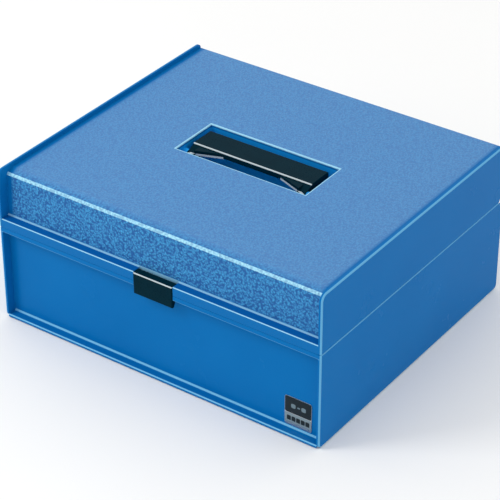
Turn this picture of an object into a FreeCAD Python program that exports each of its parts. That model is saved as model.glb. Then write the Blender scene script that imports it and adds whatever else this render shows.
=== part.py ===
"""Hinged archival storage box with a folding carrying handle and a front latch.

Units are millimetres. X runs across the front, Y from front to back, Z up. The origin is on the
table, under the middle of the whole outline, latch included. Every driving size is a cell of the
sheet called Sizes, and every sub-part is a document object sized by expressions on those cells.
"""
import FreeCAD
import Part
import Sketcher
import os

os.makedirs("parts", exist_ok=True)
doc = FreeCAD.newDocument("ArchivalBox")


# ---------------------------------------------------------------- driving sizes
SIZES = {
    # overall
    "width": 330.0, "depth": 287.0, "height": 148.8, "seam_height": 93.0, "seam_gap": 0.3,
    # moulded walls
    "cheek": 3.0, "cheek_edge": 1.4, "cheek_corner": 6.5, "cheek_foot": 4.0, "seam_edge": 0.8,
    "wall": 2.8, "floor_wall": 2.6, "floor_edge": 1.0,
    # base front
    "base_recess": 8.5, "rim_height": 4.4, "rim_lip": 2.5, "rim_top": 2.4, "rim_edge": 0.6,
    "base_fillet": 2.4,
    # lid
    "lip_height": 8.7, "lip_wall": 2.5, "lip_edge": 0.6, "ledge_depth": 8.8, "ledge_fillet": 1.6,
    "panel_lean": 1.7, "top_drop": 3.6, "bevel_width": 7.5, "bevel_drop": 3.4, "brow_radius": 3.0,
    "eave_gap": 0.4, "eave_edge": 1.1, "opening_edge": 0.9,
    # handle well
    "well_width": 134.0, "well_depth": 51.6, "well_centre": 5.0, "cup_height": 26.0,
    "cup_wall": 2.2, "ear_drop": 7.0, "ear_wall": 2.0, "ear_reach": 9.0, "ear_inset": 14.0,
    "boss_radius": 3.6, "pilot_radius": 1.2, "screw_radius": 1.45, "screw_length": 7.0,
    "screw_head": 2.4, "screw_head_wall": 1.6, "rest_reach": 9.0, "rest_width": 8.0,
    "rest_wall": 3.0, "rest_gap": 0.3, "rest_setback": 2.0,
    # handle
    "grip_width": 122.4, "grip_back_gap": 8.1, "grip_front": 17.5, "grip_wall": 5.6,
    "grip_drop": 0.7, "grip_edge": 1.8, "leg_width": 8.0, "lug_radius": 4.6,
    "pivot_setback": 11.0, "pivot_drop": 9.0, "gusset_reach": 24.0, "gusset_wall": 4.6,
    "gusset_drop": 0.6, "gusset_lead": 0.5, "gusset_root": 3.0, "grip_front_edge": 1.0,
    "handle_pin_radius": 2.0, "handle_pin_grip": 7.0, "pin_boss_radius": 4.2,
    # latch
    "latch_width": 39.6, "latch_gap": 0.4, "latch_proud": 0.8, "latch_wall": 2.4,
    "latch_pin_radius": 1.1, "latch_pin_setback": 5.6, "latch_pin_rise": 5.6,
    "latch_arm": 2.8, "latch_ear": 5.0, "hook_wall": 7.0, "hook_tip": 2.6, "hook_bite": 1.6,
    "hook_gap": 0.5, "hook_root": 0.5, "latch_edge": 0.9, "latch_pin_end_gap": 0.5,
    "catch_setback": 2.2, "catch_wall": 2.4,
    # hinges
    "hinge_inset": 3.2, "hinge_notch": 4.0, "barrel_radius": 3.0, "barrel_gap": 0.3,
    "hinge_offset": 92.0, "hinge_width": 50.0, "leaf_height": 17.0, "leaf_wall": 1.2,
    "knuckle": 16.0, "knuckle_gap": 0.3, "hinge_pin_radius": 1.5, "leaf_relief": 0.5,
    "rivet_radius": 1.6, "rivet_head": 3.1, "rivet_head_wall": 1.0,
    "rivet_pitch": 32.0, "rivet_drop": 11.0,
    # running clearance of the pins, and how far a cut or a joined feature runs past a face
    "pin_fit": 0.05, "overrun": 1.0,
    # feet and name plate
    "foot_radius": 8.0, "foot_height": 1.0, "foot_inset": 24.0,
    "plate_width": 26.0, "plate_height": 28.3, "plate_wall": 0.6, "plate_side_gap": 13.0,
    "plate_floor_gap": 2.8, "plate_corner": 2.0,
}

sheet = doc.addObject("Spreadsheet::Sheet", "Sizes")
for row, (alias, value) in enumerate(SIZES.items(), start=1):
    sheet.set(f"A{row}", alias.replace("_", " "))
    sheet.set(f"B{row}", str(value))
    sheet.setAlias(f"B{row}", alias)
doc.recompute()


# ---------------------------------------------------------------- places shared by the pieces
FRONT = "((Sizes.latch_proud - Sizes.depth) / 2)"
REAR = "((Sizes.latch_proud + Sizes.depth) / 2)"
SIDE = "(Sizes.width / 2)"
INNER_WIDTH = "(Sizes.width - 2 * Sizes.cheek)"
SEAM_BASE = "(Sizes.seam_height - Sizes.seam_gap / 2)"
SEAM_LID = "(Sizes.seam_height + Sizes.seam_gap / 2)"
FLOOR = "Sizes.foot_height"
FLOOR_TOP = "(Sizes.foot_height + Sizes.floor_wall)"
LEDGE = "(Sizes.seam_height + Sizes.lip_height)"
TOP = "(Sizes.height - Sizes.top_drop)"
TOP_UNDER = f"({TOP} - Sizes.wall)"
HINGE_Y = f"({REAR} - Sizes.hinge_inset)"
REAR_WALL = f"({HINGE_Y} - Sizes.barrel_radius - Sizes.barrel_gap)"
BASE_PANEL = f"({FRONT} + Sizes.base_recess)"
LID_PANEL = f"({FRONT} + Sizes.ledge_depth)"
WELL_FRONT = "(Sizes.well_centre - Sizes.well_depth / 2)"
WELL_BACK = "(Sizes.well_centre + Sizes.well_depth / 2)"
WELL_SIDE = "(Sizes.well_width / 2)"
PIVOT_Y = f"({WELL_FRONT} + Sizes.pivot_setback)"
PIVOT_Z = f"({TOP} - Sizes.pivot_drop)"
GRIP_SIDE = "(Sizes.grip_width / 2)"
GRIP_TOP = f"({TOP} - Sizes.grip_drop)"
GRIP_FRONT = f"({WELL_FRONT} + Sizes.grip_front)"
GRIP_REACH = "(Sizes.well_depth - Sizes.grip_front - Sizes.grip_back_gap)"
NOTCH_SIDE = "(Sizes.latch_width / 2 + Sizes.latch_gap)"
LATCH_PIN_Y = f"({FRONT} + Sizes.latch_pin_setback)"
LATCH_PIN_Z = "(Sizes.seam_height + Sizes.latch_pin_rise)"
RIM_UNDER = f"({SEAM_BASE} - Sizes.rim_height)"
OVERRUN = "Sizes.overrun"


# ---------------------------------------------------------------- modelling helpers
def number(expression):
    """Value of a sheet expression."""
    return float(sheet.evalExpression(str(expression)))


def new_body(label):
    return doc.addObject("PartDesign::Body", label)


def new_sketch(body, role, offset="0"):
    """Sketch on one of the body's own planes, moved along that plane's normal by offset."""
    sketch = body.newObject("Sketcher::SketchObject", f"{body.Name}_sketch")
    plane = [item for item in body.Origin.OriginFeatures if item.Role == role][0]
    sketch.AttachmentSupport = [(plane, "")]
    sketch.MapMode = "FlatFace"
    sketch.setExpression("AttachmentOffset.Base.z", offset)
    return sketch


def place_point(sketch, geometry, vertex, horizontal, vertical):
    """Tie one vertex of a sketch to two expressions, measured from the sketch's origin."""
    for kind, expression in (("DistanceX", horizontal), ("DistanceY", vertical)):
        rule = Sketcher.Constraint(kind, -1, 1, geometry, vertex, number(expression))
        index = sketch.addConstraint(rule)
        sketch.setExpression(f"Constraints[{index}]", str(expression))


def add_polygon(sketch, points):
    """Closed outline through the points, each a pair of expressions."""
    corners = [FreeCAD.Vector(number(a), number(b), 0) for a, b in points]
    first = sketch.GeometryCount
    for start, end in zip(corners, corners[1:] + corners[:1]):
        sketch.addGeometry(Part.LineSegment(start, end), False)
    count = len(points)
    for index, (horizontal, vertical) in enumerate(points):
        before = first + (index - 1) % count
        sketch.addConstraint(Sketcher.Constraint("Coincident", before, 2, first + index, 1))
        place_point(sketch, first + index, 1, horizontal, vertical)


def add_rectangle(sketch, low, high):
    add_polygon(sketch, [low, (high[0], low[1]), high, (low[0], high[1])])


def add_circle(sketch, centre, radius):
    middle = FreeCAD.Vector(number(centre[0]), number(centre[1]), 0)
    circle = Part.Circle(middle, FreeCAD.Vector(0, 0, 1), number(radius))
    geometry = sketch.addGeometry(circle, False)
    place_point(sketch, geometry, 3, *centre)
    index = sketch.addConstraint(Sketcher.Constraint("Radius", geometry, number(radius)))
    sketch.setExpression(f"Constraints[{index}]", str(radius))


def add_pad(body, sketch, length, side="One side", reverse=False):
    pad = body.newObject("PartDesign::Pad", f"{body.Name}_pad")
    pad.Profile = (sketch, [""])
    pad.SideType = side
    pad.Reversed = reverse
    pad.setExpression("Length", length)
    doc.recompute()
    return pad


def add_pocket(body, sketch, length, side="One side", reverse=False):
    """Cut against the sketch's normal; a cut that removes nothing is an error."""
    before = body.Shape.Volume
    pocket = body.newObject("PartDesign::Pocket", f"{body.Name}_pocket")
    pocket.Profile = (sketch, [""])
    pocket.SideType = side
    pocket.Reversed = reverse
    pocket.setExpression("Length", length)
    doc.recompute()
    if not body.Shape.Volume < before - 1e-3:
        raise RuntimeError(f"{pocket.Label} cuts nothing")
    return pocket


def round_edges(body, radius, wanted):
    """Fillet the body's edges for which wanted(bounding box) is true."""
    names = [f"Edge{index}" for index, edge in enumerate(body.Shape.Edges, start=1)
             if wanted(edge.BoundBox)]
    if not names:
        raise RuntimeError(f"{body.Label} has no edge to round")
    base = body.Tip
    fillet = body.newObject("PartDesign::Fillet", f"{body.Name}_fillet")
    fillet.Base = (base, names)
    fillet.setExpression("Radius", radius)
    doc.recompute()
    if "Invalid" in fillet.State:
        raise RuntimeError(f"{fillet.Label} of {radius} on {names} failed")


EDGE_SLACK = 0.02    # how closely an edge's bounding box has to match the place asked for


def near(value, expression):
    return abs(value - number(expression)) < EDGE_SLACK


def flat(low, high):
    return high - low < EDGE_SLACK


def add_cylinder(label, radius, length, centre, along):
    """Plain pin whose middle is at centre, along X, Y or Z."""
    turn = {"X": (FreeCAD.Vector(0, 1, 0), 90), "Y": (FreeCAD.Vector(1, 0, 0), -90),
            "Z": (FreeCAD.Vector(0, 0, 1), 0)}[along]
    pin = doc.addObject("Part::Cylinder", label)
    pin.setExpression("Radius", radius)
    pin.setExpression("Height", length)
    pin.Placement.Rotation = FreeCAD.Rotation(*turn)
    for axis, middle in zip("XYZ", centre):
        shift = f" - ({length}) / 2" if axis == along else ""
        pin.setExpression(f"Placement.Base.{axis.lower()}", f"{middle}{shift}")
    doc.recompute()
    return pin


def join_group(label, members):
    """Several loose solids of one kind, kept in one node."""
    group = doc.addObject("Part::Compound", label)
    group.Links = members
    doc.recompute()
    return group


PIECES = []


def keep(piece):
    PIECES.append(piece)
    return piece


# ---------------------------------------------------------------- base shell
# One moulding carried across the box: floor with a lip at front and back, a front panel set
# back from the lip, an overhanging rim with a turned-down lip, and the rear wall.
def make_base_shell():
    body = new_body("base_shell")
    outline = new_sketch(body, "YZ_Plane")
    add_polygon(outline, [
        (FRONT, FLOOR), (FRONT, FLOOR_TOP), (BASE_PANEL, FLOOR_TOP),
        (BASE_PANEL, f"{SEAM_BASE} - Sizes.rim_top"),
        (f"{FRONT} + Sizes.rim_lip", f"{SEAM_BASE} - Sizes.rim_top"),
        (f"{FRONT} + Sizes.rim_lip", RIM_UNDER), (FRONT, RIM_UNDER), (FRONT, SEAM_BASE),
        (f"{BASE_PANEL} + Sizes.wall", SEAM_BASE), (f"{BASE_PANEL} + Sizes.wall", FLOOR_TOP),
        (f"{REAR_WALL} - Sizes.wall", FLOOR_TOP), (f"{REAR_WALL} - Sizes.wall", SEAM_BASE),
        (REAR_WALL, SEAM_BASE), (REAR_WALL, FLOOR_TOP), (REAR, FLOOR_TOP), (REAR, FLOOR)])
    add_pad(body, outline, INNER_WIDTH, side="Symmetric")
    round_edges(body, "Sizes.base_fillet", lambda box: not flat(box.XMin, box.XMax)
                and near(box.YMin, BASE_PANEL) and near(box.ZMin, FLOOR_TOP))
    round_edges(body, "Sizes.floor_edge", lambda box: not flat(box.XMin, box.XMax)
                and (near(box.YMin, FRONT) or near(box.YMin, REAR))
                and near(box.ZMin, FLOOR_TOP))
    round_edges(body, "Sizes.rim_edge", lambda box: not flat(box.XMin, box.XMax)
                and near(box.YMin, FRONT) and near(box.ZMin, RIM_UNDER))
    notch = new_sketch(body, "XY_Plane", f"{SEAM_BASE} + {OVERRUN}")
    add_rectangle(notch, (f"-{NOTCH_SIDE}", f"{FRONT} - {OVERRUN}"),
                  (NOTCH_SIDE, f"{FRONT} + Sizes.catch_setback"))
    add_pocket(body, notch, f"Sizes.rim_height + 2 * {OVERRUN}")
    catch = new_sketch(body, "XY_Plane", RIM_UNDER)
    add_rectangle(catch, (f"-{NOTCH_SIDE} - {OVERRUN}", f"{FRONT} + Sizes.catch_setback"),
                  (f"{NOTCH_SIDE} + {OVERRUN}", f"{FRONT} + Sizes.catch_setback + Sizes.catch_wall"))
    add_pad(body, catch, "Sizes.rim_height")
    add_rivet_holes(body, f"{SEAM_BASE} - Sizes.rivet_drop")
    return keep(body)


def rivet_columns():
    """X places of the rivets of both hinges."""
    return [f"({side} * Sizes.hinge_offset + {end} * Sizes.rivet_pitch / 2)"
            for side in (-1, 1) for end in (-1, 1)]


def add_rivet_holes(body, height):
    holes = new_sketch(body, "XZ_Plane", f"-({REAR_WALL} - Sizes.wall - {OVERRUN})")
    for column in rivet_columns():
        add_circle(holes, (column, height), "Sizes.rivet_radius + Sizes.pin_fit")
    add_pocket(body, holes, f"Sizes.wall + 2 * {OVERRUN}")


# ---------------------------------------------------------------- base and lid cheeks
# Smooth end plates, proud of the shells on every side, with rounded outer edges. A round
# notch at the rear end of the seam leaves room for the corners to pass as the lid swings.
def make_cheek(label, side, low, high, fixed_edge, corners):
    body = new_body(label)
    offset = f"{SIDE} - Sizes.cheek" if side > 0 else f"-{SIDE}"
    outline = new_sketch(body, "YZ_Plane", offset)
    add_rectangle(outline, (FRONT, low), (REAR, high))
    add_pad(body, outline, "Sizes.cheek")
    notch = new_sketch(body, "YZ_Plane", f"{offset} - {OVERRUN}")
    add_circle(notch, (HINGE_Y, "Sizes.seam_height"), "Sizes.hinge_notch")
    add_pocket(body, notch, f"Sizes.cheek + 2 * {OVERRUN}", reverse=True)
    step = new_sketch(body, "YZ_Plane", f"{offset} - {OVERRUN}")
    add_rectangle(step, (HINGE_Y, "Sizes.seam_height - Sizes.hinge_notch"),
                  (f"{REAR} + {OVERRUN}", "Sizes.seam_height + Sizes.hinge_notch"))
    add_pocket(body, step, f"Sizes.cheek + 2 * {OVERRUN}", reverse=True)
    for place, height, radius in corners:
        round_edges(body, radius, lambda box: near(box.YMin, place) and near(box.YMax, place)
                    and near(box.ZMin, height) and near(box.ZMax, height))
    outer = f"{side} * {SIDE}"
    round_edges(body, "Sizes.cheek_edge", lambda box: near(box.XMin, outer)
                and near(box.XMax, outer) and not near(box.ZMax, fixed_edge)
                and not near(box.ZMin, fixed_edge) and not is_notch(box))
    round_edges(body, "Sizes.seam_edge", lambda box: near(box.XMin, outer)
                and near(box.XMax, outer) and near(box.ZMin, fixed_edge)
                and near(box.ZMax, fixed_edge))
    return keep(body)


def is_notch(box):
    """True for the edges round the hinge notch."""
    middle = (box.ZMin + box.ZMax) / 2
    reach = number("Sizes.hinge_notch") + EDGE_SLACK
    return (abs(middle - number("Sizes.seam_height")) < reach
            and box.YMin > number(f"{HINGE_Y} - Sizes.hinge_notch") - EDGE_SLACK)


def make_base_side(label, side):
    corners = [(FRONT, FLOOR, "Sizes.cheek_foot"), (REAR, FLOOR, "Sizes.cheek_foot")]
    return make_cheek(label, side, FLOOR, SEAM_BASE, SEAM_BASE, corners)


def make_lid_side(label, side):
    corners = [(FRONT, "Sizes.height", "Sizes.cheek_corner"),
               (REAR, "Sizes.height", "Sizes.cheek_foot")]
    return make_cheek(label, side, SEAM_LID, "Sizes.height", SEAM_LID, corners)


# ---------------------------------------------------------------- lid shell
# One moulding carried across the lid: lip and ledge that sit on the base rim, the grained
# front panel that leans back, the soft bevel, the grained top and the rear wall.
def make_lid_shell():
    body = new_body("lid_shell")
    head_y = f"({LID_PANEL} + Sizes.panel_lean)"
    head_z = f"({TOP} - Sizes.bevel_drop)"
    bevel_y = f"({head_y} + Sizes.bevel_width)"
    under_head = f"{head_z} + Sizes.bevel_drop * Sizes.wall / Sizes.bevel_width - Sizes.wall"
    eave = f"({REAR} - Sizes.eave_gap)"
    ledge_under = f"{LEDGE} - Sizes.lip_wall"
    outline = new_sketch(body, "YZ_Plane")
    add_polygon(outline, [
        (FRONT, SEAM_LID), (FRONT, LEDGE), (LID_PANEL, LEDGE), (head_y, head_z),
        (bevel_y, TOP), (eave, TOP), (eave, TOP_UNDER), (REAR_WALL, TOP_UNDER),
        (REAR_WALL, SEAM_LID), (f"{REAR_WALL} - Sizes.wall", SEAM_LID),
        (f"{REAR_WALL} - Sizes.wall", TOP_UNDER), (bevel_y, TOP_UNDER),
        (f"{head_y} + Sizes.wall", under_head), (f"{LID_PANEL} + Sizes.wall", LEDGE),
        (f"{LID_PANEL} + Sizes.wall", SEAM_LID), (LID_PANEL, SEAM_LID),
        (LID_PANEL, ledge_under), (f"{FRONT} + Sizes.lip_wall", ledge_under),
        (f"{FRONT} + Sizes.lip_wall", SEAM_LID)])
    add_pad(body, outline, INNER_WIDTH, side="Symmetric")
    round_edges(body, "Sizes.ledge_fillet", lambda box: near(box.YMin, LID_PANEL)
                and near(box.YMax, LID_PANEL) and near(box.ZMin, LEDGE))
    round_edges(body, "Sizes.lip_edge", lambda box: near(box.YMin, FRONT)
                and near(box.YMax, FRONT) and near(box.ZMin, LEDGE))
    round_edges(body, "Sizes.eave_edge", lambda box: near(box.YMin, eave)
                and near(box.ZMin, TOP) and not flat(box.XMin, box.XMax))
    round_edges(body, "Sizes.brow_radius", lambda box: near(box.YMax, head_y)
                and near(box.ZMin, head_z))
    cut_latch_notch(body)
    cut_handle_opening(body)
    add_rivet_holes(body, f"{SEAM_LID} + Sizes.rivet_drop")
    return keep(body)


def cut_latch_notch(body):
    """Gap through lip and ledge for the latch, with an ear for its pin at each end."""
    notch = new_sketch(body, "XY_Plane", f"{LEDGE} + {OVERRUN}")
    add_rectangle(notch, (f"-{NOTCH_SIDE}", f"{FRONT} - {OVERRUN}"), (NOTCH_SIDE, LID_PANEL))
    add_pocket(body, notch, f"Sizes.lip_height + 2 * {OVERRUN}")
    for side in (-1, 1):
        ear = new_sketch(body, "XY_Plane", SEAM_LID)
        add_rectangle(ear, (f"{side} * {NOTCH_SIDE}", f"{FRONT} + Sizes.lip_wall / 2"),
                      (f"{side} * ({NOTCH_SIDE} + Sizes.latch_ear)",
                       f"{LID_PANEL} + Sizes.wall / 2"))
        add_pad(body, ear, "Sizes.lip_height - Sizes.lip_wall / 2")
    bore = new_sketch(body, "YZ_Plane")
    add_circle(bore, (LATCH_PIN_Y, LATCH_PIN_Z), "Sizes.latch_pin_radius + Sizes.pin_fit")
    add_pocket(body, bore, "Sizes.latch_width + 2 * Sizes.latch_ear", side="Symmetric")


def screw_places():
    """Centres of the four screws that hold the handle cup."""
    return [(f"{side} * ({WELL_SIDE} - Sizes.ear_inset)",
             f"(Sizes.well_centre + {end} * (Sizes.well_depth / 2 + Sizes.cup_wall"
             " + Sizes.ear_reach / 2))")
            for side in (-1, 1) for end in (-1, 1)]


def cut_handle_opening(body):
    """Opening over the handle well, and the four screw bosses under the top panel."""
    opening = new_sketch(body, "XY_Plane", f"{TOP} + {OVERRUN}")
    add_rectangle(opening, (f"-{WELL_SIDE}", WELL_FRONT), (WELL_SIDE, WELL_BACK))
    add_pocket(body, opening, f"Sizes.wall + 2 * {OVERRUN}")
    round_edges(body, "Sizes.opening_edge", lambda box: near(box.ZMin, TOP)
                and near(box.ZMax, TOP) and box.YMin > number(WELL_FRONT) - EDGE_SLACK
                and box.YMax < number(WELL_BACK) + EDGE_SLACK
                and abs(box.XMin) < number(WELL_SIDE) + EDGE_SLACK
                and abs(box.XMax) < number(WELL_SIDE) + EDGE_SLACK)
    bosses = new_sketch(body, "XY_Plane", f"{TOP_UNDER} - Sizes.ear_drop")
    pilots = new_sketch(body, "XY_Plane", f"{TOP_UNDER} - Sizes.ear_drop")
    for place in screw_places():
        add_circle(bosses, place, "Sizes.boss_radius")
        add_circle(pilots, place, "Sizes.pilot_radius")
    add_pad(body, bosses, "Sizes.ear_drop + Sizes.wall / 2")
    add_pocket(body, pilots, "Sizes.ear_drop", reverse=True)


# ---------------------------------------------------------------- handle cup
# Well under the opening that hides the folded handle: four walls and a floor, pin bosses at
# both ends, two rests for the grip, and four ears screwed up into the lid.
def make_handle_cup():
    body = new_body("handle_cup")
    outer = "Sizes.cup_wall"
    block = new_sketch(body, "XY_Plane", f"{TOP_UNDER} - Sizes.cup_height")
    add_rectangle(block, (f"-{WELL_SIDE} - {outer}", f"{WELL_FRONT} - {outer}"),
                  (f"{WELL_SIDE} + {outer}", f"{WELL_BACK} + {outer}"))
    add_pad(body, block, "Sizes.cup_height")
    for x, y in screw_places():
        ear = new_sketch(body, "XY_Plane", f"{TOP_UNDER} - Sizes.ear_drop - Sizes.ear_wall")
        reach = "Sizes.ear_reach / 2"
        inward = -1 if number(y) > number("Sizes.well_centre") else 1
        add_rectangle(ear, (f"{x} - {reach}", f"{y} - ({inward}) * {reach}"),
                      (f"{x} + {reach}", f"{y} + ({inward}) * ({reach} + {outer} / 2)"))
        add_pad(body, ear, "Sizes.ear_wall")
    holes = new_sketch(body, "XY_Plane", f"{TOP_UNDER} - Sizes.ear_drop + {OVERRUN}")
    for place in screw_places():
        add_circle(holes, place, "Sizes.screw_radius + Sizes.pin_fit")
    add_pocket(body, holes, f"Sizes.ear_wall + 2 * {OVERRUN}")
    bosses = new_sketch(body, "YZ_Plane")
    add_circle(bosses, (PIVOT_Y, PIVOT_Z), "Sizes.pin_boss_radius")
    add_pad(body, bosses, "Sizes.well_width + 2 * Sizes.cup_wall + 2 * Sizes.cheek",
            side="Symmetric")
    cavity = new_sketch(body, "XY_Plane", f"{TOP_UNDER} + {OVERRUN}")
    add_rectangle(cavity, (f"-{WELL_SIDE}", WELL_FRONT), (WELL_SIDE, WELL_BACK))
    add_pocket(body, cavity, f"Sizes.cup_height + {OVERRUN} - Sizes.cup_wall")
    for side in (-1, 1):
        start = f"{GRIP_SIDE} + Sizes.barrel_gap" if side > 0 else f"-{WELL_SIDE} - {OVERRUN}"
        collar = new_sketch(body, "YZ_Plane", start)
        add_circle(collar, (PIVOT_Y, PIVOT_Z), "Sizes.pin_boss_radius")
        add_pad(body, collar, f"{WELL_SIDE} + {OVERRUN} - {GRIP_SIDE} - Sizes.barrel_gap")
        rest = new_sketch(body, "XY_Plane",
                          f"{GRIP_TOP} - Sizes.grip_wall - Sizes.rest_gap - Sizes.rest_wall")
        back = f"({GRIP_FRONT} + {GRIP_REACH} - Sizes.rest_setback)"
        add_rectangle(rest, (f"{side} * ({WELL_SIDE} - Sizes.rest_reach)",
                             f"{back} - Sizes.rest_width"), (f"{side} * ({WELL_SIDE} + {OVERRUN})", back))
        add_pad(body, rest, "Sizes.rest_wall")
    bore = new_sketch(body, "YZ_Plane")
    add_circle(bore, (PIVOT_Y, PIVOT_Z), "Sizes.handle_pin_radius + Sizes.pin_fit")
    add_pocket(body, bore, "Sizes.well_width + 2 * Sizes.cup_wall + 4 * Sizes.cheek",
               side="Symmetric")
    round_edges(body, "Sizes.cup_wall", lambda box: flat(box.XMin, box.XMax)
                and flat(box.YMin, box.YMax) and near(abs(box.XMin), WELL_SIDE)
                and (near(box.YMin, WELL_FRONT) or near(box.YMin, WELL_BACK)))
    return keep(body)


# ---------------------------------------------------------------- handle
# Flat grip with an eased top edge, a lug at each end for its pin, and a web that
# strengthens each inner corner.
def make_handle():
    body = new_body("handle_grip")
    back = f"({GRIP_FRONT} + {GRIP_REACH})"
    under = f"({GRIP_TOP} - Sizes.grip_wall)"
    grip = new_sketch(body, "YZ_Plane")
    add_rectangle(grip, (GRIP_FRONT, under), (back, GRIP_TOP))
    add_pad(body, grip, "Sizes.grip_width", side="Symmetric")
    for side in (-1, 1):
        leg_start = f"{GRIP_SIDE} - Sizes.leg_width" if side > 0 else f"-{GRIP_SIDE}"
        lug = new_sketch(body, "YZ_Plane", leg_start)
        add_circle(lug, (PIVOT_Y, PIVOT_Z), "Sizes.lug_radius")
        add_pad(body, lug, "Sizes.leg_width")
        leg = new_sketch(body, "YZ_Plane", leg_start)
        add_polygon(leg, [(PIVOT_Y, f"{PIVOT_Z} + Sizes.lug_radius"),
                          (PIVOT_Y, f"{PIVOT_Z} - Sizes.lug_radius"),
                          (f"{GRIP_FRONT} + {GRIP_REACH} / 2", f"{under} + {OVERRUN}"),
                          (f"{GRIP_FRONT} + {OVERRUN}", f"{GRIP_TOP} - {OVERRUN}")])
        add_pad(body, leg, "Sizes.leg_width")
        inner = f"{side} * ({GRIP_SIDE} - Sizes.leg_width"
        web = new_sketch(body, "XY_Plane", f"{under} - Sizes.gusset_drop")
        root = f"{GRIP_FRONT} + Sizes.gusset_root"
        add_polygon(web, [(f"{inner} + {OVERRUN})", f"{PIVOT_Y} - Sizes.lug_radius / 2"),
                          (f"{inner} - Sizes.gusset_reach)", f"{GRIP_FRONT} + Sizes.gusset_lead"),
                          (f"{inner} - Sizes.gusset_reach)", root),
                          (f"{inner} + {OVERRUN})", root)])
        add_pad(body, web, "Sizes.gusset_wall")
    bore = new_sketch(body, "YZ_Plane")
    add_circle(bore, (PIVOT_Y, PIVOT_Z), "Sizes.handle_pin_radius + Sizes.pin_fit")
    add_pocket(body, bore, f"Sizes.grip_width + 2 * {OVERRUN}", side="Symmetric")
    round_edges(body, "Sizes.grip_edge", lambda box: near(box.YMin, back)
                and near(box.ZMin, GRIP_TOP) and near(box.ZMax, GRIP_TOP))
    round_edges(body, "Sizes.grip_front_edge", lambda box: near(box.YMin, GRIP_FRONT)
                and near(box.YMax, GRIP_FRONT) and near(box.ZMin, GRIP_TOP)
                and near(box.ZMax, GRIP_TOP))
    return keep(body)


# ---------------------------------------------------------------- latch
# C-shaped clip: the arm turns on the latch pin inside the notch, the plate covers the seam,
# and the hook reaches back under the catch bar of the base rim.
def make_latch():
    body = new_body("latch_clip")
    face = f"({FRONT} - Sizes.latch_proud)"
    inside = f"({face} + Sizes.latch_wall)"
    arm_top = f"({LATCH_PIN_Z} + Sizes.latch_arm)"
    arm_under = f"({LATCH_PIN_Z} - Sizes.latch_arm)"
    hook_top = f"({RIM_UNDER} - Sizes.hook_gap)"
    hook_under = f"({hook_top} - Sizes.hook_wall)"
    hook_tip = f"({FRONT} + Sizes.catch_setback + Sizes.hook_bite)"
    outline = new_sketch(body, "YZ_Plane")
    add_polygon(outline, [
        (face, hook_under), (face, arm_top), (LATCH_PIN_Y, arm_top), (LATCH_PIN_Y, arm_under),
        (inside, arm_under), (inside, hook_top), (hook_tip, hook_top),
        (hook_tip, f"{hook_top} - Sizes.hook_tip"), (f"{inside} + Sizes.hook_root", hook_under)])
    add_pad(body, outline, "Sizes.latch_width", side="Symmetric")
    round_edges(body, "Sizes.latch_edge", lambda box: near(box.YMin, face)
                and near(box.YMax, face))
    knuckle = new_sketch(body, "YZ_Plane")
    add_circle(knuckle, (LATCH_PIN_Y, LATCH_PIN_Z), "Sizes.latch_arm")
    add_pad(body, knuckle, "Sizes.latch_width", side="Symmetric")
    bore = new_sketch(body, "YZ_Plane")
    add_circle(bore, (LATCH_PIN_Y, LATCH_PIN_Z), "Sizes.latch_pin_radius + Sizes.pin_fit")
    add_pocket(body, bore, f"Sizes.latch_width + 2 * {OVERRUN}", side="Symmetric")
    return keep(body)


# ---------------------------------------------------------------- hinges
# Two steel butt hinges on the rear walls: the base leaf carries the two outer knuckles, the
# lid leaf the middle one.
def make_leaf(label, side, upward, spans):
    """Leaf with knuckles over the spans, each (start, end) from the hinge's middle."""
    body = new_body(label)
    middle = f"({side} * Sizes.hinge_offset)"
    sign = 1 if upward else -1
    relief = "(Sizes.barrel_radius + Sizes.leaf_relief)"
    seat = SEAM_LID if upward else SEAM_BASE
    plate = new_sketch(body, "XY_Plane", f"Sizes.seam_height + {sign} * {relief}")
    add_rectangle(plate, (f"{middle} - Sizes.hinge_width / 2", REAR_WALL),
                  (f"{middle} + Sizes.hinge_width / 2", f"{REAR_WALL} + Sizes.leaf_wall"))
    add_pad(body, plate, f"Sizes.leaf_height - {relief}", reverse=not upward)
    for start, end in spans:
        tongue = new_sketch(body, "YZ_Plane", f"{middle} + {start}")
        add_rectangle(tongue, (REAR_WALL, seat),
                      (f"{REAR_WALL} + Sizes.leaf_wall",
                       f"Sizes.seam_height + {sign} * ({relief} + {OVERRUN})"))
        add_pad(body, tongue, f"({end}) - ({start})")
        knuckle = new_sketch(body, "YZ_Plane", f"{middle} + {start}")
        add_circle(knuckle, (HINGE_Y, "Sizes.seam_height"), "Sizes.barrel_radius")
        add_pad(body, knuckle, f"({end}) - ({start})")
    bore = new_sketch(body, "YZ_Plane", middle)
    add_circle(bore, (HINGE_Y, "Sizes.seam_height"), "Sizes.hinge_pin_radius + Sizes.pin_fit")
    add_pocket(body, bore, f"Sizes.hinge_width + 2 * {OVERRUN}", side="Symmetric")
    holes = new_sketch(body, "XZ_Plane", f"-({REAR_WALL} - {OVERRUN})")
    for column in rivet_columns():
        if (number(column) > 0) == (side > 0):
            add_circle(holes, (column, f"{seat} + {sign} * Sizes.rivet_drop"),
                       "Sizes.rivet_radius + Sizes.pin_fit")
    add_pocket(body, holes, f"Sizes.leaf_wall + 2 * {OVERRUN}")
    return keep(body)


def make_hinge(name, side):
    half = "Sizes.hinge_width / 2"
    inner = "Sizes.knuckle / 2"
    outer = f"({inner} + Sizes.knuckle_gap)"
    make_leaf(f"hinge_base_leaf_{name}", side, False, [(f"-{half}", f"-{outer}"), (outer, half)])
    make_leaf(f"hinge_lid_leaf_{name}", side, True, [(f"-{inner}", inner)])
    keep(add_cylinder(f"hinge_pin_{name}", "Sizes.hinge_pin_radius", f"Sizes.hinge_width + {OVERRUN}",
                      (f"{side} * Sizes.hinge_offset", HINGE_Y, "Sizes.seam_height"), "X"))


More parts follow.
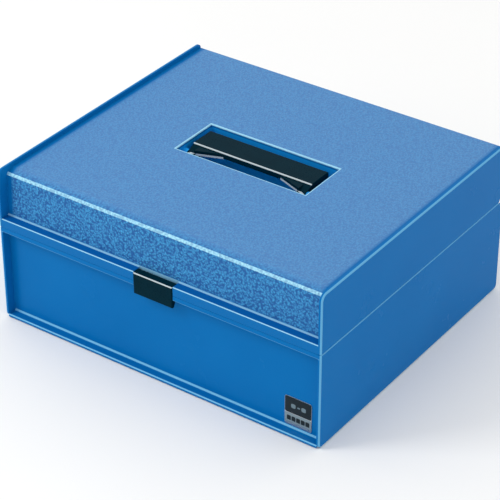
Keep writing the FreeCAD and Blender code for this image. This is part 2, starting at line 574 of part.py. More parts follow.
def make_rivets(label, height):
    """Hinge rivets: a shank through wall and leaf with a flat head at each end."""
    start = f"({REAR_WALL} - Sizes.wall - Sizes.rivet_head_wall)"
    stack = "(Sizes.wall + Sizes.leaf_wall)"
    middle = f"({REAR_WALL} - Sizes.wall + {stack} / 2)"
    back_head = f"({REAR_WALL} + Sizes.leaf_wall + Sizes.rivet_head_wall / 2)"
    rivets = []
    for index, column in enumerate(rivet_columns()):
        name = f"{label}_{index}"
        shank = add_cylinder(f"{name}_shank", "Sizes.rivet_radius",
                             f"{stack} + Sizes.rivet_head_wall", (column, middle, height), "Y")
        heads = [add_cylinder(f"{name}_head_{end}", "Sizes.rivet_head", "Sizes.rivet_head_wall",
                              (column, place, height), "Y")
                 for end, place in enumerate((f"({start} + Sizes.rivet_head_wall / 2)",
                                              back_head))]
        rivet = doc.addObject("Part::MultiFuse", name)
        rivet.Shapes = [shank] + heads
        rivets.append(rivet)
    return keep(join_group(label, rivets))


# ---------------------------------------------------------------- small hardware
def make_handle_pins():
    inner = f"({GRIP_SIDE} - Sizes.handle_pin_grip)"
    outer = f"({WELL_SIDE} + Sizes.cup_wall + Sizes.cheek)"
    for name, side in (("left", -1), ("right", 1)):
        keep(add_cylinder(f"handle_pin_{name}", "Sizes.handle_pin_radius", f"{outer} - {inner}",
                          (f"{side} * ({inner} + {outer}) / 2", PIVOT_Y, PIVOT_Z), "X"))


def make_latch_pin():
    length = f"2 * ({NOTCH_SIDE} + Sizes.latch_ear - Sizes.latch_pin_end_gap)"
    return keep(add_cylinder("latch_pin", "Sizes.latch_pin_radius", length,
                             ("0", LATCH_PIN_Y, LATCH_PIN_Z), "X"))


def make_cup_screws():
    """Pan-head screws up through the ears of the cup into the lid bosses."""
    seat = f"({TOP_UNDER} - Sizes.ear_drop - Sizes.ear_wall)"
    sunk = "Sizes.screw_head_wall / 8"
    screws = []
    for index, (x, y) in enumerate(screw_places()):
        name = f"cup_screws_{index}"
        shank = add_cylinder(f"{name}_shank", "Sizes.pilot_radius", "Sizes.screw_length",
                             (x, y, f"{seat} + Sizes.screw_length / 2 - {sunk}"), "Z")
        head = add_cylinder(f"{name}_head", "Sizes.screw_head", "Sizes.screw_head_wall",
                            (x, y, f"{seat} - Sizes.screw_head_wall / 2"), "Z")
        screw = doc.addObject("Part::MultiFuse", name)
        screw.Shapes = [shank, head]
        screws.append(screw)
    return keep(join_group("cup_screws", screws))


def make_feet():
    """Stick-on rubber discs under the corners."""
    feet = []
    for side in (-1, 1):
        for end in (-1, 1):
            place = (f"{side} * ({SIDE} - Sizes.foot_inset)",
                     f"{end} * ({REAR} - Sizes.foot_inset)", "Sizes.foot_height / 2")
            feet.append(add_cylinder(f"foot_{len(feet)}", "Sizes.foot_radius",
                                     "Sizes.foot_height", place, "Z"))
    return keep(join_group("rubber_feet", feet))


def make_name_plate():
    """Thin metal plate at the lower right of the base's front panel."""
    body = new_body("name_plate")
    right = f"({SIDE} - Sizes.plate_side_gap)"
    low = f"({FLOOR_TOP} + Sizes.plate_floor_gap)"
    outline = new_sketch(body, "XZ_Plane", f"-{BASE_PANEL}")
    add_rectangle(outline, (f"{right} - Sizes.plate_width", low),
                  (right, f"{low} + Sizes.plate_height"))
    add_pad(body, outline, "Sizes.plate_wall")
    round_edges(body, "Sizes.plate_corner", lambda box: flat(box.XMin, box.XMax)
                and flat(box.ZMin, box.ZMax))
    return keep(body)


# ---------------------------------------------------------------- assembly
make_base_shell()
make_lid_shell()
for side_name, side_sign in (("left", -1), ("right", 1)):
    make_base_side(f"base_side_{side_name}", side_sign)
    make_lid_side(f"lid_side_{side_name}", side_sign)
    make_hinge(side_name, side_sign)
make_rivets("base_hinge_rivets", f"({SEAM_BASE} - Sizes.rivet_drop)")
make_rivets("lid_hinge_rivets", f"({SEAM_LID} + Sizes.rivet_drop)")
make_handle_cup()
make_handle()
make_handle_pins()
make_cup_screws()
make_latch()
make_latch_pin()
make_feet()
make_name_plate()
doc.recompute()

for item in doc.Objects:
    if "Invalid" in item.State or "Error" in item.State:
        raise RuntimeError(f"{item.Label} failed: {item.State}")
for piece in PIECES:
    if piece.Shape.isNull() or not piece.Shape.isValid():
        raise RuntimeError(f"{piece.Label} has no valid shape")
for piece in PIECES:
    piece.Shape.exportStep(f"parts/{piece.Label}.step")
    print(f"{piece.Label}: {len(piece.Shape.Solids)} solid(s), {piece.Shape.Volume:.0f} mm3")
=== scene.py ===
import math

import bpy
import numpy as np
from mathutils import Matrix, Vector


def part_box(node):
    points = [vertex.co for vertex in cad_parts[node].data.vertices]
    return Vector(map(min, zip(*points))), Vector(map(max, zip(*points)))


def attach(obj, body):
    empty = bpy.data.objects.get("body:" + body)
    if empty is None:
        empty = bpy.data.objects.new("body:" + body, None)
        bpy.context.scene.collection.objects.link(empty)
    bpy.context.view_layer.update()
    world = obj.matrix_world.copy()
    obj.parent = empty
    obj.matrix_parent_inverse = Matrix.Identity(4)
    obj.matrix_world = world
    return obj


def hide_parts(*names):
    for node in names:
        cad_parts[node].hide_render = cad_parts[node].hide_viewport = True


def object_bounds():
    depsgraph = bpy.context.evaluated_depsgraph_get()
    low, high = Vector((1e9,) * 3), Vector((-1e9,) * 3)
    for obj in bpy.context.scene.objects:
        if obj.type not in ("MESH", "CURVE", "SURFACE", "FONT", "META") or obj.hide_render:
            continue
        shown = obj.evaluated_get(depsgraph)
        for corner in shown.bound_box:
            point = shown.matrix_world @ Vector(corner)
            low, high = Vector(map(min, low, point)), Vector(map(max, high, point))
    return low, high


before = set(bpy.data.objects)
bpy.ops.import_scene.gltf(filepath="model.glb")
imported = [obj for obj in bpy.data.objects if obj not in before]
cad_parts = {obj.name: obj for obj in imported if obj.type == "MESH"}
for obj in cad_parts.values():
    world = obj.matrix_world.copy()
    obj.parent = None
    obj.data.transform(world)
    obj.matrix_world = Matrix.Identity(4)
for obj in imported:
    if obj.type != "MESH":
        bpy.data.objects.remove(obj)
cad_low, cad_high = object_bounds()

# ------------------------------------------------------------------ base shell and base cheeks
# The bottom half of the case: one moulding for floor, recessed front, rim and rear wall, with a
# flat cheek bonded on at each end. Injection-moulded gloss ABS, dyed blue right through.
MM = 0.001
shell_low, shell_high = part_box("base_shell")
cheek_low, cheek_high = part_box("base_side_right")
cup_low, cup_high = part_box("handle_cup")
FLOOR_WALL, RIM = 2.6 * MM, 4.4 * MM
CHEEK_EDGE = 0.7 * MM       # half the width of the painted highlight on the rounded edge
CHEEK_FACE = 0.03 * MM      # skin of the flat outer face, which stays blue
WELL_SIDE, WELL_MIDDLE, WELL_HALF = 67.0 * MM, 5.0 * MM, 25.8 * MM
WELL_SKIN = 1.0 * MM        # how far into the cup's walls the painted bounce light goes
CLOUD_MM, HAZE_MM, RIPPLE_MM = 71.43, 25.0, 3.03


def linear(code):
    """An sRGB hex colour turned to the linear RGBA that the nodes take."""
    channels = [int(code[place:place + 2], 16) / 255 for place in (1, 3, 5)]
    return [c / 12.92 if c <= 0.04045 else ((c + 0.055) / 1.055) ** 2.4 for c in channels] + [1.0]


def add(tree, kind, inputs=None, **settings):
    """Add a node, set its properties, fill its inputs with values or links; gives the node."""
    node = tree.nodes.new(kind)
    for name, value in settings.items():
        setattr(node, name, value)
    for name, value in (inputs or {}).items():
        if isinstance(value, bpy.types.NodeSocket):
            tree.links.new(value, node.inputs[name])
        else:
            node.inputs[name].default_value = value
    return node


def new_material(name):
    """An empty node material: returns it, its tree, its Object coordinates and their parts."""
    material = bpy.data.materials.new(name)
    material.use_nodes = True
    tree = material.node_tree
    tree.nodes.clear()
    place = add(tree, "ShaderNodeTexCoord").outputs["Object"]
    return material, tree, place, add(tree, "ShaderNodeSeparateXYZ", {"Vector": place}).outputs


def dress(material, *nodes):
    """Put the material on CAD nodes."""
    for name in nodes:
        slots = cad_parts[name].data.materials
        slots.clear()
        slots.append(material)


def edge_bands(tree, bands):
    """Mask of the strongest of several bands. Each band is its strength followed by its limits
    (coordinate, middle, half width), and it counts only where all of its limits hold."""
    strongest = 0.0
    for strength, *limits in bands:
        for coordinate, middle, half in limits:
            inside = add(tree, "ShaderNodeMath", {0: coordinate, 1: middle, 2: half},
                         operation="COMPARE").outputs[0]
            strength = add(tree, "ShaderNodeMath", {0: strength, 1: inside},
                           operation="MULTIPLY").outputs[0]
        strongest = add(tree, "ShaderNodeMath", {0: strongest, 1: strength},
                        operation="MAXIMUM").outputs[0]
    return strongest


def gloss_abs():
    """Gloss ABS, polished mould: deep even blue, painted bounce light inside the handle well, a 3
    mm ripple in the shine, and painted highlights on the rounded edges. IOR 1.53."""
    material, tree, place, axes = new_material("moulded gloss ABS")
    clouds = add(tree, "ShaderNodeTexNoise", {"Vector": place, "Scale": 1000 / CLOUD_MM}).outputs[0]
    blue = add(tree, "ShaderNodeMix", {"Factor": clouds, 6: linear("#0467ab"),
                                       7: linear("#0970b5")}, data_type="RGBA").outputs[2]
    across = add(tree, "ShaderNodeMath", {0: axes[0]}, operation="ABSOLUTE").outputs[0]
    # Painted bounce light: the walls and floor inside the handle well are coloured a brighter blue.
    painted_well_light = edge_bands(tree, [(1.0, (across, 0.0, WELL_SIDE + WELL_SKIN),
                              (axes[1], WELL_MIDDLE, WELL_HALF + WELL_SKIN),
                              (axes[2], cup_high.z, cup_high.z - cup_low.z - WELL_SKIN))])
    blue = add(tree, "ShaderNodeMix", {"Factor": painted_well_light, 6: blue, 7: linear("#1690dc")},
               data_type="RGBA").outputs[2]
    floor_top = shell_low.z + FLOOR_WALL
    front_face = (axes[1], cheek_low.y, shell_low.y - cheek_low.y + 0.8 * MM)
    between_cheeks = (across, 0.0, cheek_low.x - 1.0 * MM)
    # Painted highlights, in this order: top edge of the floor's lip, foot of the rim, root of the
    # panel, cheek edges.
    pale = edge_bands(tree, [
        (0.65, (axes[2], floor_top - 0.4 * MM, 0.5 * MM), front_face),
        (0.26, (axes[2], shell_high.z - RIM + 0.3 * MM, 0.4 * MM), front_face),
        (0.585, (axes[2], floor_top + 1.0 * MM, 0.7 * MM), between_cheeks),
        (0.455, (across, cheek_high.x - CHEEK_EDGE, CHEEK_EDGE - CHEEK_FACE))])
    # The rounded edges are coloured pale as painted highlights.
    colour = add(tree, "ShaderNodeMix", {"Factor": pale, 6: blue, 7: linear("#8fdaf8")},
                 data_type="RGBA").outputs[2]
    haze = add(tree, "ShaderNodeTexNoise", {"Vector": place, "Scale": 1000 / HAZE_MM,
                                            "Detail": 4.0})
    rough = add(tree, "ShaderNodeMapRange", {"Value": haze.outputs[0], "From Min": 0.3,
                                             "From Max": 0.7, "To Min": 0.2, "To Max": 0.28})
    ripple = add(tree, "ShaderNodeTexNoise", {"Vector": place, "Scale": 1000 / RIPPLE_MM,
                                              "Detail": 3.0})
    bump = add(tree, "ShaderNodeBump", {"Height": ripple.outputs[0], "Strength": 0.2,
                                        "Distance": 0.05 * MM})
    shader = add(tree, "ShaderNodeBsdfPrincipled",
                 {"Base Color": colour, "Roughness": rough.outputs[0], "IOR": 1.53,
                  "Specular IOR Level": 0.035, "Normal": bump.outputs[0]})
    add(tree, "ShaderNodeOutputMaterial", {"Surface": shader.outputs["BSDF"]})
    return material


case_plastic = gloss_abs()
dress(case_plastic, "base_shell", "base_side_left", "base_side_right")

# ------------------------------------------------------------------ rubber feet
# Four stick-on discs of black rubber that keep the case off the table. Die-cut from sheet with
# eased edges, so they are matt, slightly grey with dust, and plain.
DUST_MM, GRIT_MM = 2.0, 0.4
foot_low, foot_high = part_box("rubber_feet")
FOOT_RADIUS = 8.0 * MM
foot_x = foot_high.x - FOOT_RADIUS


def ring_solid(name, centres, right, normal, half, steps, corner=2.0, sides=40):
    """Closed solids, one at each centre. At angle t the outline is half * |cos t, sin t| to the
    power 2/corner, with their signs: a circle at 2, nearly a rectangle at 10. Each step
    (reach, rise) scales the outline by reach and lifts it by rise along the normal. The first
    and last steps have no reach, so the outline closes to a point there."""
    centres, right, normal = (np.array(item, float) for item in (centres, right, normal))
    up = np.cross(normal, right)
    angle = np.arange(sides) * 2 * math.pi / sides
    wave = np.stack([np.cos(angle), np.sin(angle)])
    outline = np.sign(wave) * np.abs(wave) ** (2 / corner) * np.array(half)[:, None]
    flat = outline[0][:, None] * right + outline[1][:, None] * up
    reach, rise = np.array(steps).T
    rings = reach[1:-1, None, None] * flat + rise[1:-1, None, None] * normal
    shape = np.concatenate([[rise[0] * normal], rings.reshape(-1, 3), [rise[-1] * normal]])
    points = (centres[:, None, :] + shape).reshape(-1, 3)
    here = np.arange(sides)
    after = (here + 1) % sides
    starts = 1 + sides * np.arange(len(reach) - 3)[:, None]
    quads = np.stack([starts + here, starts + sides + here, starts + sides + after,
                      starts + after], axis=-1).reshape(-1, 4)
    last = 1 + sides * (len(reach) - 3)
    top = np.stack([0 * here, 1 + here, 1 + after], axis=-1)
    bottom = np.stack([0 * here + len(shape) - 1, last + after, last + here], axis=-1)
    shift = len(shape) * np.arange(len(centres))[:, None, None]
    faces = (quads + shift).reshape(-1, 4).tolist()
    faces += (np.concatenate([top, bottom]) + shift).reshape(-1, 3).tolist()
    mesh = bpy.data.meshes.new(name)
    mesh.from_pydata(points.tolist(), [], faces)
    mesh.shade_smooth()
    mesh.set_sharp_from_angle(angle=math.radians(35))
    piece = bpy.data.objects.new(name, mesh)
    bpy.context.scene.collection.objects.link(piece)
    return piece


def matt_rubber():
    """Sheet rubber, die-cut: black-grey, rough, with 2 mm dusty patches. IOR 1.52."""
    material, tree, place, _ = new_material("die-cut sheet rubber")
    dust = add(tree, "ShaderNodeTexNoise", {"Vector": place, "Scale": 1000 / DUST_MM,
                                            "Detail": 5.0})
    colour = add(tree, "ShaderNodeMix", {"Factor": dust.outputs[0], 6: linear("#17181a"),
                                         7: linear("#2a2b2d")}, data_type="RGBA").outputs[2]
    grit = add(tree, "ShaderNodeTexNoise", {"Vector": place, "Scale": 1000 / GRIT_MM})
    bump = add(tree, "ShaderNodeBump", {"Height": grit.outputs[0], "Strength": 0.4,
                                        "Distance": 0.05 * MM})
    shader = add(tree, "ShaderNodeBsdfPrincipled", {"Base Color": colour, "Roughness": 0.85,
                                                    "IOR": 1.52, "Normal": bump.outputs[0]})
    add(tree, "ShaderNodeOutputMaterial", {"Surface": shader.outputs["BSDF"]})
    return material


feet = ring_solid("foot_discs",
                  [(x, y, 0) for x in (-foot_x, foot_x)
                   for y in (foot_low.y + FOOT_RADIUS, foot_high.y - FOOT_RADIUS)],
                  (1, 0, 0), (0, 0, 1), (FOOT_RADIUS, FOOT_RADIUS),
                  [(0, foot_high.z), (0.95, foot_high.z), (1.0, foot_high.z - 0.2 * MM),
                   (1.0, 0.3 * MM), (0.985, 0.1 * MM), (0.95, 0.0), (0, 0.0)])
feet.data.materials.append(matt_rubber())
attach(feet, "base")
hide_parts("rubber_feet")

# ------------------------------------------------------------------ name plate
# A thin aluminium plate stuck on the recessed front. Its upper field is printed black with pale
# marks and its lower field grey with dark ones; plain bars stand where such a plate has print.
plate_low, plate_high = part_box("name_plate")
plate_x, plate_face = (plate_low.x + plate_high.x) / 2, plate_low.y
PRINT_WALL, PRINT_ROOT = 0.1 * MM, 0.02 * MM    # how far ink stands proud and reaches in
STREAK_MM, STREAK_SQUASH, MOTTLE_MM = 4.0, 18, 1.0


def satin_aluminium():
    """Rolled aluminium: metal with fine horizontal streaks."""
    material, tree, place, _ = new_material("satin rolled aluminium")
    along = add(tree, "ShaderNodeMapping", {"Vector": place,
                                             "Scale": (1, 1, STREAK_SQUASH)}).outputs[0]
    streaks = add(tree, "ShaderNodeTexNoise", {"Vector": along, "Scale": 1000 / STREAK_MM,
                                               "Detail": 4.0})
    colour = add(tree, "ShaderNodeMix", {"Factor": streaks.outputs[0], 6: linear("#b9bdc0"),
                                         7: linear("#d5d8da")}, data_type="RGBA").outputs[2]
    rough = add(tree, "ShaderNodeMapRange", {"Value": streaks.outputs[0], "From Min": 0.3,
                                             "From Max": 0.7, "To Min": 0.3, "To Max": 0.42})
    shader = add(tree, "ShaderNodeBsdfPrincipled", {"Base Color": colour, "Metallic": 1.0,
                                                    "Roughness": rough.outputs[0]})
    add(tree, "ShaderNodeOutputMaterial", {"Surface": shader.outputs["BSDF"]})
    return material


def printed_ink(name, first, second, gloss):
    """Screen-printed enamel ink: flat colour with 1 mm mottling from the screen. IOR 1.5."""
    material, tree, place, _ = new_material(name)
    mottle = add(tree, "ShaderNodeTexNoise", {"Vector": place, "Scale": 1000 / MOTTLE_MM,
                                              "Detail": 3.0})
    colour = add(tree, "ShaderNodeMix", {"Factor": mottle.outputs[0], 6: linear(first),
                                         7: linear(second)}, data_type="RGBA").outputs[2]
    shader = add(tree, "ShaderNodeBsdfPrincipled", {"Base Color": colour, "Roughness": gloss,
                                                    "IOR": 1.5, "Specular IOR Level": 0.2})
    add(tree, "ShaderNodeOutputMaterial", {"Surface": shader.outputs["BSDF"]})
    return material


def print_on_plate(name, ink, areas, corner, base=0.0):
    """Printed areas, each (middle x, middle z, width, height) in millimetres from the plate's
    middle and foot, standing PRINT_WALL proud of what is under them, which is base thick."""
    for index, (x, z, width, height) in enumerate(areas):
        mark = ring_solid(f"{name}_{index}", [(plate_x + x * MM, plate_face - base,
                                               plate_low.z + z * MM)],
                          (1, 0, 0), (0, -1, 0), (width * MM / 2, height * MM / 2),
                          [(0, PRINT_WALL), (0.97, PRINT_WALL), (1.0, 0.4 * PRINT_WALL),
                           (1.0, -PRINT_ROOT), (0, -PRINT_ROOT)], corner)
        mark.data.materials.append(ink)
        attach(mark, "base")


dress(satin_aluminium(), "name_plate")
black_ink = printed_ink("black enamel ink", "#06181f", "#0c2029", 0.3)
print_on_plate("plate_black_field", black_ink, [(0, 20.2, 25.6, 15.8)], 16)
print_on_plate("plate_grey_field", printed_ink("grey enamel ink", "#6f838e", "#82949d", 0.4),
               [(0, 7.0, 25.6, 9.8)], 16)
print_on_plate("plate_pale_mark", printed_ink("pale enamel ink", "#5d727d", "#718690", 0.4),
               [(-4.6, 19.8, 4.4, 4.2), (0.6, 19.8, 2.8, 1.3), (5.4, 19.8, 4.4, 4.2)], 3.5,
               PRINT_WALL)
print_on_plate("plate_dark_mark", black_ink,
               [(0.2 + 4.5 * step, 7.0, 3.9, 4.6) for step in range(-2, 3)], 5, PRINT_WALL)

# ------------------------------------------------------------------ hinges
# Two butt hinges on the rear wall, each two pressed steel leaves round one pin, held by domed
# rivets. Zinc plated: a cool grey metal with a soft spangle and darker, duller patches.
SPANGLE_MM, DENT_MM = 5.0, 0.8
RIVET_HEAD, RIVET_SHANK, RIVET_PITCH = 3.1 * MM, 1.6 * MM, 32.0 * MM
HEAD_WALL, HEAD_RIM = 1.0 * MM, 0.3 * MM


def zinc_plate():
    """Zinc-plated steel: metal with 5 mm patches of brighter and duller plating."""
    material, tree, place, _ = new_material("zinc-plated steel")
    patches = add(tree, "ShaderNodeTexNoise", {"Vector": place, "Scale": 1000 / SPANGLE_MM,
                                               "Detail": 5.0})
    colour = add(tree, "ShaderNodeMix", {"Factor": patches.outputs[0], 6: linear("#8f9296"),
                                         7: linear("#b9bcbf")}, data_type="RGBA").outputs[2]
    rough = add(tree, "ShaderNodeMapRange", {"Value": patches.outputs[0], "From Min": 0.3,
                                             "From Max": 0.7, "To Min": 0.34, "To Max": 0.5})
    dents = add(tree, "ShaderNodeTexNoise", {"Vector": place, "Scale": 1000 / DENT_MM})
    bump = add(tree, "ShaderNodeBump", {"Height": dents.outputs[0], "Strength": 0.2,
                                        "Distance": 0.03 * MM})
    shader = add(tree, "ShaderNodeBsdfPrincipled",
                 {"Base Color": colour, "Roughness": rough.outputs[0], "Metallic": 1.0,
                  "Normal": bump.outputs[0]})
    add(tree, "ShaderNodeOutputMaterial", {"Surface": shader.outputs["BSDF"]})
    return material


steel = zinc_plate()
for side in ("left", "right"):
    dress(steel, f"hinge_base_leaf_{side}", f"hinge_lid_leaf_{side}", f"hinge_pin_{side}",
          f"handle_pin_{side}")
dress(steel, "latch_pin")


def dome(radius, seat, rim, height):
    """Steps from the pole to the seat: radius * sin a outwards and height * cos a upwards."""
    turn = np.linspace(0, math.pi / 2, 8)
    steps = list(zip(radius * np.sin(turn), seat + rim + (height - rim) * np.cos(turn)))
    return steps + [(radius, seat)]


for body in ("base", "lid"):
    low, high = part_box(f"{body}_hinge_rivets")
    outer = high.x - RIVET_HEAD
    reach = (high.y - low.y) / 2
    head = dome(RIVET_HEAD, reach - HEAD_WALL, HEAD_RIM, HEAD_WALL)
    tail = [(radius, -rise) for radius, rise in reversed(head)]
    rivets = ring_solid(f"{body}_rivets",
                        [(x, (low.y + high.y) / 2, (low.z + high.z) / 2)
                         for x in (-outer, RIVET_PITCH - outer, outer - RIVET_PITCH, outer)],
                        (1, 0, 0), (0, 1, 0), (1, 1),
                        head + [(RIVET_SHANK, reach - HEAD_WALL),
                                (RIVET_SHANK, HEAD_WALL - reach)] + tail, sides=24)
    rivets.data.materials.append(steel)
    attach(rivets, body)
    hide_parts(f"{body}_hinge_rivets")

# ------------------------------------------------------------------ lid shell and lid cheeks
# The top half: one ABS moulding for lip, ledge, leaning front, bevel, top and rear wall. Its mould
# was etched, coarse for the front and finer for the top; the grain's colour carries painted light
# and shade of its relief and a pale painted sheen, paler on the top. The inside, the lip, the
# ledge with its painted shade and a band beside each cheek stay smooth.
lid_low, lid_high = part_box("lid_shell")
PEBBLE_MM, FINE_PEBBLE_MM, PEBBLE_DEPTH = 1.8, 1.5, 0.6 * MM
BEND_MM, BEND_REACH = 3.333, 1.6 * MM      # noise that pushes the cells out of line
LIP, LEDGE_DEPTH, LEAN, LID_WALL = 8.55 * MM, 8.8 * MM, 1.7 * MM, 2.8 * MM
BEVEL_DROP, BEVEL_WIDTH, EAVE_REACH = 3.4 * MM, 7.5 * MM, 6.1 * MM
GRAIN_FULL, GRAIN_NONE = 7.0 * MM, 4.0 * MM     # distances from the cheeks
GRAIN_START, GRAIN_DONE = 1.0 * MM, 2.6 * MM    # heights over the ledge
PAINTED_LINE_STRENGTH = 0.7             # strength of the painted highlight lines on this piece


def grained_abs():
    """Etched ABS: cells of pebble grain in height on the outer skin only, coarse on the front panel
    and fine on the top, with painted light and shade of the relief in their colour, a pale
    painted sheen that is paler on the top, and painted highlights on the rounded edges. The
    top's own cells may be finer: 1.5 mm is about the least that shows at this distance.
    IOR 1.53."""
    material, tree, place, axes = new_material("etched grain ABS")
    across = add(tree, "ShaderNodeMath", {0: axes[0]}, operation="ABSOLUTE").outputs[0]
    inside = add(tree, "ShaderNodeMapRange",
                 {"Value": across, "From Min": lid_high.x - GRAIN_FULL,
                  "From Max": lid_high.x - GRAIN_NONE, "To Min": 1.0, "To Max": 0.0}).outputs[0]
    above = add(tree, "ShaderNodeMapRange",
                {"Value": axes[2], "From Min": lid_low.z + LIP + GRAIN_START,
                 "From Max": lid_low.z + LIP + GRAIN_DONE}).outputs[0]
    field = add(tree, "ShaderNodeMath", {0: inside, 1: above}, operation="MULTIPLY").outputs[0]
    brow_y, bevel_slope = lid_low.y + LEDGE_DEPTH + LEAN, BEVEL_DROP / BEVEL_WIDTH
    along_bevel = add(tree, "ShaderNodeMath", {0: axes[1], 1: -bevel_slope, 2: axes[2]},
                      operation="MULTIPLY_ADD").outputs[0]
    # The outer skin of the front panel, the rear wall, the top and the bevel.
    masked = edge_bands(tree, [(field, band) for band in (
        (axes[1], lid_low.y, LEDGE_DEPTH + LEAN + 0.5 * MM),
        (axes[1], lid_high.y, EAVE_REACH + LID_WALL / 2),
        (axes[2], lid_high.z, LID_WALL / 2),
        (along_bevel, lid_high.z - BEVEL_DROP - bevel_slope * brow_y, LID_WALL / 2))])
    on_top = add(tree, "ShaderNodeMapRange",
                 {"Value": axes[2], "From Min": lid_high.z - BEVEL_DROP,
                  "From Max": lid_high.z - 0.2 * MM}).outputs[0]
    bend = add(tree, "ShaderNodeTexNoise", {"Vector": place,
                                            "Scale": 1000 / BEND_MM}).outputs["Color"]
    wobble = add(tree, "ShaderNodeMix", {"Factor": BEND_REACH, 4: place, 5: bend},
                 data_type="VECTOR").outputs[1]
    coarse = add(tree, "ShaderNodeTexVoronoi", {"Vector": wobble, "Scale": 1000 / PEBBLE_MM},
                 feature="SMOOTH_F1").outputs["Distance"]
    fine = add(tree, "ShaderNodeTexVoronoi", {"Vector": wobble, "Scale": 1000 / FINE_PEBBLE_MM},
               feature="SMOOTH_F1").outputs["Distance"]
    cells = add(tree, "ShaderNodeMix", {"Factor": on_top, 2: coarse, 3: fine}).outputs[0]
    height = add(tree, "ShaderNodeMapRange", {"Value": cells, "From Min": 0.15, "From Max": 0.6,
                                              "To Min": 1.0, "To Max": 0.0}).outputs[0]
    strength = add(tree, "ShaderNodeMapRange", {"Value": on_top, "To Min": 1.0,
                                                "To Max": 0.5}).outputs[0]
    depth = add(tree, "ShaderNodeMath", {0: strength, 1: masked}, operation="MULTIPLY").outputs[0]
    bump = add(tree, "ShaderNodeBump", {"Height": height, "Strength": depth,
                                        "Distance": PEBBLE_DEPTH})
    # Painted light and shade of the relief: raised cells paler, pits darker, and the whole a pale
    # painted sheen; the top's copy is lighter still.
    front_painted_relief = add(tree, "ShaderNodeMix", {"Factor": height, 6: linear("#295f9d"),
                                              7: linear("#469dd6")}, data_type="RGBA").outputs[2]
    top_painted_relief_sheen = add(tree, "ShaderNodeMix", {"Factor": height, 6: linear("#4e80b8"),
                                            7: linear("#5794c9")}, data_type="RGBA").outputs[2]
    grain = add(tree, "ShaderNodeMix", {"Factor": on_top, 6: front_painted_relief, 7: top_painted_relief_sheen},
                data_type="RGBA").outputs[2]
    # Painted shade: the ledge's top is coloured a darker blue than the rest of the smooth skin.
    painted_ledge_shade = add(tree, "ShaderNodeMath", {0: axes[1], 1: lid_low.y + LEDGE_DEPTH / 2,
                                         2: LEDGE_DEPTH / 2 - 0.8 * MM},
                operation="COMPARE").outputs[0]
    smooth_and_ledge_shade = add(tree, "ShaderNodeMix", {"Factor": painted_ledge_shade, 6: linear("#0669ad"),
                                         7: linear("#055ca4")}, data_type="RGBA").outputs[2]
    blue = add(tree, "ShaderNodeMix", {"Factor": masked, 6: smooth_and_ledge_shade, 7: grain},
               data_type="RGBA").outputs[2]
    # Painted highlight on the brow, broken up by the grain's height.
    broken_brow_highlight = add(tree, "ShaderNodeMapRange",
                      {"Value": height, "To Min": 0.7 * PAINTED_LINE_STRENGTH,
                       "To Max": 1.35 * PAINTED_LINE_STRENGTH}).outputs[0]
    past_end = add(tree, "ShaderNodeMath", {0: across, 1: WELL_SIDE},
                   operation="SUBTRACT").outputs[0]
    past_side = add(tree, "ShaderNodeMath", {0: axes[1], 1: WELL_MIDDLE},
                    operation="SUBTRACT").outputs[0]
    past_side = add(tree, "ShaderNodeMath", {0: past_side}, operation="ABSOLUTE").outputs[0]
    past_side = add(tree, "ShaderNodeMath", {0: past_side, 1: WELL_HALF},
                    operation="SUBTRACT").outputs[0]
    past_edge = add(tree, "ShaderNodeMath", {0: past_end, 1: past_side},
                    operation="MAXIMUM").outputs[0]
    # Painted highlights, in this order: front edge of the lip, root of the ledge, brow over the
    # panel, well opening.
    pale = edge_bands(tree, [
        (PAINTED_LINE_STRENGTH, (axes[2], lid_low.z + LIP - 0.25 * MM, 0.35 * MM),
         (axes[1], lid_low.y, 0.7 * MM)),
        (0.65 * PAINTED_LINE_STRENGTH, (axes[1], lid_low.y + LEDGE_DEPTH - 0.4 * MM, 0.6 * MM),
         (axes[2], lid_low.z, LIP + 1.4 * MM)),
        (broken_brow_highlight, (axes[1], brow_y + 0.7 * MM, 0.9 * MM),
         (axes[2], lid_high.z, BEVEL_DROP + 1.6 * MM)),
        (PAINTED_LINE_STRENGTH, (past_edge, 0.6 * MM, 0.75 * MM), (axes[2], lid_high.z, 1.0 * MM))])
    colour = add(tree, "ShaderNodeMix", {"Factor": pale, 6: blue, 7: linear("#b2ecff")},
                 data_type="RGBA").outputs[2]
    rough = add(tree, "ShaderNodeMapRange", {"Value": masked, "To Min": 0.25, "To Max": 0.4})
    shader = add(tree, "ShaderNodeBsdfPrincipled",
                 {"Base Color": colour, "Roughness": rough.outputs[0], "IOR": 1.53,
                  "Specular IOR Level": 0.06, "Normal": bump.outputs[0]})
    add(tree, "ShaderNodeOutputMaterial", {"Surface": shader.outputs["BSDF"]})
    return material


dress(grained_abs(), "lid_shell")
dress(case_plastic, "lid_side_left", "lid_side_right", "handle_cup")

# ------------------------------------------------------------------ screws of the handle cup
# Four zinc-plated pan-head screws driven up through the cup's ears into the lid.
screw_low, screw_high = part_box("cup_screws")
SCREW_HEAD, SCREW_SHANK, SCREW_HEAD_WALL = 2.4 * MM, 1.2 * MM, 1.6 * MM
seat = screw_low.z + SCREW_HEAD_WALL
screws = ring_solid("pan_head_screws",
                    [(x, y, seat) for x in (screw_low.x + SCREW_HEAD, screw_high.x - SCREW_HEAD)
                     for y in (screw_low.y + SCREW_HEAD, screw_high.y - SCREW_HEAD)],
                    (1, 0, 0), (0, 0, -1), (1, 1),
                    dome(SCREW_HEAD, 0.0, 0.5 * MM, SCREW_HEAD_WALL)
                    + [(SCREW_SHANK, 0.0), (SCREW_SHANK, seat - screw_high.z),
                       (0, seat - screw_high.z)], sides=24)
screws.data.materials.append(steel)
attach(screws, "lid")
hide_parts("cup_screws")

